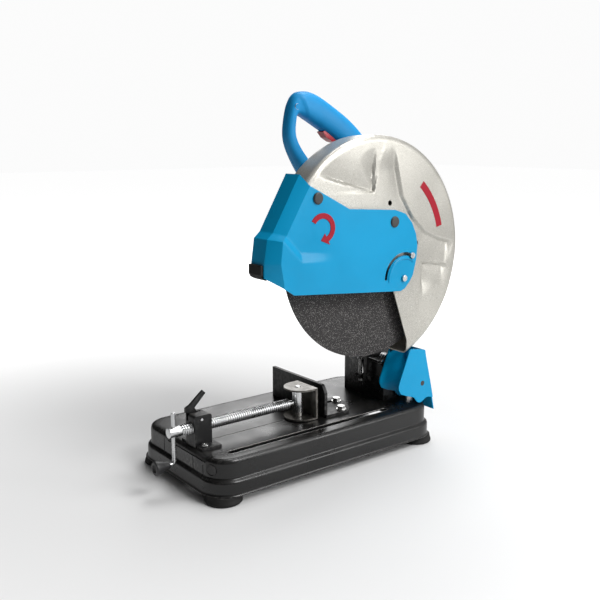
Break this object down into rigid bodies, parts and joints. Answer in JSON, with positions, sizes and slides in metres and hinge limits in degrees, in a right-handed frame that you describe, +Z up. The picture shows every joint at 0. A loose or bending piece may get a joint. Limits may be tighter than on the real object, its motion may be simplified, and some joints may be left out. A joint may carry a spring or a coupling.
{
  "type": "bench cut-off machine",
  "caption": "Bench-top abrasive cut-off machine with a pivoting motor head, guarded wheel, swivel fence and screw vise on a pressed steel base.",
  "frame": {"origin": "centre of the rectangle of bench bolt holes, on the floor under the feet", "axes": "+X from the vise crank towards the head pivot, +Y towards the motor, +Z up"},
  "size_m": [0.5655, 0.2745, 0.6026],
  "materials": {
    "black_enamel": "satin black enamel",
    "black_casting": "satin black paint on a casting",
    "black_rubber": "matt black rubber",
    "zinc_hardware": "bright zinc plate",
    "bright_steel": "machined bright steel",
    "dark_steel": "dark oiled steel",
    "laminated_iron": "varnished laminations",
    "copper_bars": "turned copper",
    "brush_brass": "plain brass",
    "carbon": "carbon graphite",
    "abrasive_grit": "coarse resin-bonded grit",
    "silver_enamel": "silver-grey hammered enamel",
    "blue_enamel": "gloss blue enamel",
    "blue_plastic": "semi-gloss blue moulding",
    "motor_plastic": "matt black moulding",
    "black_plastic": "matt black moulding",
    "red_plastic": "semi-gloss red moulding"
  },
  "bodies": {
    "base": {"base_shell": "black_enamel", "base_feet": "black_rubber", "pivot_bracket": "black_enamel", "bracket_bolts": "zinc_hardware", "pivot_shaft": "bright_steel", "shaft_clip": "zinc_hardware", "fence_bolts": "zinc_hardware", "vise_bracket": "black_enamel", "vise_bolts": "zinc_hardware", "lever_pin": "bright_steel"},
    "stop_screw": {"stop_screw": "zinc_hardware"},
    "lock_pin": {"lock_pin": "bright_steel"},
    "fence": {"fence": "black_enamel"},
    "release_lever": {"release_lever": "black_enamel"},
    "half_nut": {"half_nut": "bright_steel"},
    "vise_carriage": {"swivel_block": "bright_steel", "jaw_pin": "bright_steel"},
    "vise_jaw": {"vise_jaw": "dark_steel"},
    "vise_screw": {"vise_screw": "bright_steel", "crank_rod": "bright_steel"},
    "crank_grip": {"crank_grip": "black_plastic"},
    "head": {"head_casting": "black_casting", "return_spring": "bright_steel", "bearing_plate": "black_casting", "motor_housing": "motor_plastic", "motor_end_cap": "motor_plastic", "field_core": "laminated_iron", "spindle_bearings": "bright_steel", "armature_bearings": "bright_steel", "brush_caps": "black_plastic", "brush_holders": "brush_brass", "carbon_brushes": "carbon", "blade_guard": "silver_enamel", "guard_screws": "zinc_hardware", "cover_pivot_screw": "zinc_hardware", "cover_lock_screw": "zinc_hardware", "spark_deflector": "blue_enamel", "deflector_screws": "zinc_hardware", "handle_near_half": "blue_plastic", "handle_far_half": "blue_plastic", "handle_screws": "zinc_hardware", "switch_body": "black_plastic", "cord_inlet": "black_plastic"},
    "wheel_spindle": {"spindle": "bright_steel", "inner_flange": "bright_steel", "cutting_wheel": "abrasive_grit", "outer_flange": "bright_steel", "spindle_nut": "zinc_hardware", "driven_gear": "bright_steel"},
    "armature": {"armature_shaft": "bright_steel", "pinion": "bright_steel", "armature_core": "laminated_iron", "commutator": "copper_bars", "cooling_fan": "black_plastic"},
    "front_cover": {"swing_cover": "blue_enamel", "cover_plugs": "black_plastic", "cover_bumper": "black_rubber"},
    "trigger": {"trigger": "red_plastic"},
    "lock_button": {"lock_button": "black_plastic"}
  },
  "joints": [
    {"name": "stop_height", "type": "slide", "parent": "base", "child": "stop_screw", "axis": [0, 0, -1], "range_m": [0, 0.008]},
    {"name": "lock_pin_push", "type": "slide", "parent": "base", "child": "lock_pin", "axis": [0, 1, 0], "range_m": [0, 0.014]},
    {"name": "fence_swivel", "type": "hinge", "parent": "base", "child": "fence", "pos_m": [0.064, -0.053, 0.0745], "axis": [0, 0, -1], "range_deg": [0, 45]},
    {"name": "release_lever_lift", "type": "hinge", "parent": "base", "child": "release_lever", "pos_m": [-0.206, -0.021, 0.113], "axis": [0, -1, 0], "range_deg": [0, 35]},
    {"name": "half_nut_drop", "type": "slide", "parent": "base", "child": "half_nut", "axis": [0, 0, -1], "range_m": [0, 0.005]},
    {"name": "vise_travel", "type": "slide", "parent": "base", "child": "vise_carriage", "axis": [-1, 0, 0], "range_m": [-0.006, 0.14]},
    {"name": "jaw_swivel", "type": "hinge", "parent": "vise_carriage", "child": "vise_jaw", "pos_m": [-0.012, -0.0295, 0.0975], "axis": [0, 0, 1], "range_deg": [-15, 15]},
    {"name": "vise_screw_turn", "type": "hinge", "parent": "vise_carriage", "child": "vise_screw", "pos_m": [-0.1395, -0.0295, 0.098], "axis": [-1, 0, 0], "range_deg": [-540, 12600]},
    {"name": "crank_grip_spin", "type": "hinge", "parent": "vise_screw", "child": "crank_grip", "pos_m": [-0.268, -0.0295, 0.048], "axis": [-1, 0, 0], "continuous": true},
    {"name": "head_tilt", "type": "hinge", "parent": "base", "child": "head", "pos_m": [0.195, -0.001, 0.132], "axis": [0, -1, 0], "range_deg": [0, 40], "stiffness_Nm_per_rad": 20, "springref_deg": -45.84},
    {"name": "wheel_spin", "type": "hinge", "parent": "head", "child": "wheel_spindle", "pos_m": [0.092, -0.0615, 0.351], "axis": [0, -1, 0], "continuous": true},
    {"name": "armature_spin", "type": "hinge", "parent": "head", "child": "armature", "pos_m": [0.12664, 0.043, 0.331], "axis": [0, -1, 0], "continuous": true},
    {"name": "cover_swing", "type": "hinge", "parent": "head", "child": "front_cover", "pos_m": [0.1466, -0.1072, 0.3018], "axis": [0, 1, 0], "range_deg": [0, 110]},
    {"name": "trigger_squeeze", "type": "hinge", "parent": "head", "child": "trigger", "pos_m": [0.088, -0.016, 0.532], "axis": [0, 1, 0], "range_deg": [0, 8], "stiffness_Nm_per_rad": 1, "springref_deg": -5.73},
    {"name": "lock_button_press", "type": "slide", "parent": "head", "child": "lock_button", "axis": [0, -1, 0], "range_m": [0, 0.004], "stiffness_N_per_m": 400, "springref_m": -0.002}
  ],
  "couplings": [
    {"joint": "half_nut_drop", "follows": "release_lever_lift", "m_per_rad": 0.008},
    {"joint": "vise_travel", "follows": "vise_screw_turn", "m_per_rad": 0.00063662},
    {"joint": "armature_spin", "follows": "wheel_spin", "ratio": -4}
  ]
}
